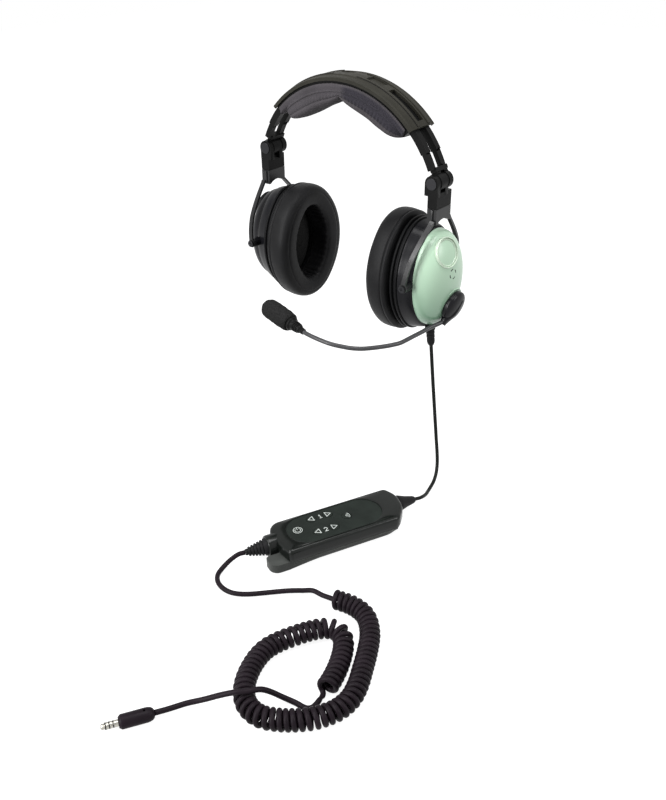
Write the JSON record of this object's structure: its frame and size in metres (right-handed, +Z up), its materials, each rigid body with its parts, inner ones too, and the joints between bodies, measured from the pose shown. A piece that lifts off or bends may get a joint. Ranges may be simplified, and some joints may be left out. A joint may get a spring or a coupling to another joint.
{
  "type": "aviation headset",
  "caption": "Aviation headset with noise-cancelling cups, boom microphone, folding headband, cord module and curly cord",
  "frame": {"origin": "midway between the ear cups, on the line through the wearer's ears", "axes": "+X to the wearer's left (the cup with the boom), +Y to the back, +Z up; the face looks along -Y"},
  "size_m": [0.3507, 0.4594, 0.3808],
  "materials": {
    "shell_black": "gloss, near-black moulded plastic",
    "plate_black": "satin, near-black moulded plastic",
    "leatherette": "matte, soft near-black leatherette over foam",
    "inner_plastic": "matte, plain dark plastic",
    "speaker_metal": "dull metal",
    "foam": "matte, fine open-cell foam",
    "board_green": "satin, circuit board",
    "dome_green": "satin to gloss, pale seafoam green moulded plastic",
    "medallion_green": "gloss, clear-coated pale green disc",
    "screw_steel": "small bright screws and pins",
    "soft_rubber": "matte, soft black rubber",
    "boom_grey": "satin, dark grey flexible tube",
    "satin_black": "satin, near-black moulded plastic",
    "yoke_black": "satin, black powder-coated strip",
    "band_black": "matte, olive-black moulded plastic",
    "pad_fabric": "matte, dark grey woven fabric",
    "module_black": "gloss top with satin sides, black plastic",
    "module_grey": "satin, dark grey plastic",
    "cell_wrap": "gloss, wrapped battery cell",
    "contact_metal": "bright plated metal",
    "keypad_grey": "matte, dark green-grey keypad with pale marks",
    "cord_black": "satin, black jacket",
    "coil_purple": "satin, black jacket with a purple tint"
  },
  "bodies": {
    "left_cup": {"left_cup_shell": "shell_black", "left_seal_plate": "plate_black", "left_ear_seal": "leatherette", "left_baffle": "inner_plastic", "left_speaker": "speaker_metal", "left_foam": "foam", "left_board": "board_green", "left_dome": "dome_green", "left_medallion": "medallion_green", "left_pivot_screws": "screw_steel", "boom_hub": "inner_plastic", "cup_gland": "soft_rubber", "module_upper_case": "module_black", "module_lower_case": "module_grey", "battery_cells": "cell_wrap", "battery_contacts": "contact_metal", "module_board": "board_green", "keypad_panel": "keypad_grey", "module_gland": "soft_rubber", "ribbed_relief": "soft_rubber", "down_cord": "cord_black", "lead_cord": "cord_black", "coil_cord": "coil_purple", "plug_lead": "coil_purple", "plug_barrel": "coil_purple", "plug_shaft": "contact_metal", "plug_insulators": "inner_plastic"},
    "left_yoke": {"left_yoke": "yoke_black"},
    "left_block": {"left_hinge_block": "satin_black", "left_hinge_pin": "screw_steel"},
    "left_arm": {"left_arm": "satin_black"},
    "headband": {"band_shell": "band_black", "band_frame": "satin_black", "head_pad": "pad_fabric"},
    "right_arm": {"right_arm": "satin_black"},
    "right_block": {"right_hinge_block": "satin_black", "right_hinge_pin": "screw_steel"},
    "right_yoke": {"right_yoke": "yoke_black"},
    "right_cup": {"right_cup_shell": "shell_black", "right_seal_plate": "plate_black", "right_ear_seal": "leatherette", "right_baffle": "inner_plastic", "right_speaker": "speaker_metal", "right_foam": "foam", "right_board": "board_green", "right_dome": "shell_black", "right_medallion": "plate_black", "right_pivot_screws": "screw_steel"},
    "boom": {"boom_knob": "shell_black", "boom_arm": "boom_grey", "mic_bracket": "satin_black", "mic_capsule": "speaker_metal", "windscreen": "foam"},
    "battery_door": {"battery_door": "module_grey"},
    "power_button": {"power_button": "keypad_grey"},
    "volume_button_1": {"volume_button_1": "keypad_grey"},
    "volume_button_2": {"volume_button_2": "keypad_grey"},
    "volume_button_3": {"volume_button_3": "keypad_grey"},
    "volume_button_4": {"volume_button_4": "keypad_grey"},
    "wireless_button": {"wireless_button": "keypad_grey"}
  },
  "joints": [
    {"name": "left_tilt", "type": "hinge", "parent": "left_cup", "child": "left_yoke", "pos_m": [0.09174, 0, 0.0054], "axis": [0, 1, 0], "range_deg": [-8, 8]},
    {"name": "left_swivel", "type": "hinge", "parent": "left_yoke", "child": "left_block", "pos_m": [0.09804, 0, 0.0707], "axis": [0, 0, 1], "range_deg": [-15, 15]},
    {"name": "left_fold", "type": "hinge", "parent": "left_block", "child": "left_arm", "pos_m": [0.09664, 0, 0.0919], "axis": [0, 1, 0], "range_deg": [0, 40]},
    {"name": "left_extend", "type": "hinge", "parent": "left_arm", "child": "headband", "pos_m": [0, 0, 0.06087], "axis": [0, 1, 0], "range_deg": [-6, 15]},
    {"name": "right_extend", "type": "hinge", "parent": "headband", "child": "right_arm", "pos_m": [0, 0, 0.06087], "axis": [0, 1, 0], "range_deg": [-6, 15]},
    {"name": "right_fold", "type": "hinge", "parent": "right_arm", "child": "right_block", "pos_m": [-0.09664, 0, 0.0919], "axis": [0, 1, 0], "range_deg": [-40, 0]},
    {"name": "right_swivel", "type": "hinge", "parent": "right_block", "child": "right_yoke", "pos_m": [-0.09804, 0, 0.0707], "axis": [0, 0, 1], "range_deg": [-15, 15]},
    {"name": "right_tilt", "type": "hinge", "parent": "right_yoke", "child": "right_cup", "pos_m": [-0.09174, 0, 0.0054], "axis": [0, 1, 0], "range_deg": [-8, 8]},
    {"name": "boom_swing", "type": "hinge", "parent": "left_cup", "child": "boom", "pos_m": [0.11154, 0.007, -0.021], "axis": [0.9659, 0, -0.2588], "range_deg": [-50, 30]},
    {"name": "battery_door_slide", "type": "slide", "parent": "left_cup", "child": "battery_door", "axis": [0.4035, 0.915, 0], "range_m": [0, 0.012]},
    {"name": "power_button_press", "type": "slide", "parent": "left_cup", "child": "power_button", "axis": [0, 0, -1], "range_m": [0, 0.0007], "stiffness_N_per_m": 1500},
    {"name": "volume_button_1_press", "type": "slide", "parent": "left_cup", "child": "volume_button_1", "axis": [0, 0, -1], "range_m": [0, 0.0007], "stiffness_N_per_m": 1500},
    {"name": "volume_button_2_press", "type": "slide", "parent": "left_cup", "child": "volume_button_2", "axis": [0, 0, -1], "range_m": [0, 0.0007], "stiffness_N_per_m": 1500},
    {"name": "volume_button_3_press", "type": "slide", "parent": "left_cup", "child": "volume_button_3", "axis": [0, 0, -1], "range_m": [0, 0.0007], "stiffness_N_per_m": 1500},
    {"name": "volume_button_4_press", "type": "slide", "parent": "left_cup", "child": "volume_button_4", "axis": [0, 0, -1], "range_m": [0, 0.0007], "stiffness_N_per_m": 1500},
    {"name": "wireless_button_press", "type": "slide", "parent": "left_cup", "child": "wireless_button", "axis": [0, 0, -1], "range_m": [0, 0.0007], "stiffness_N_per_m": 1500}
  ]
}
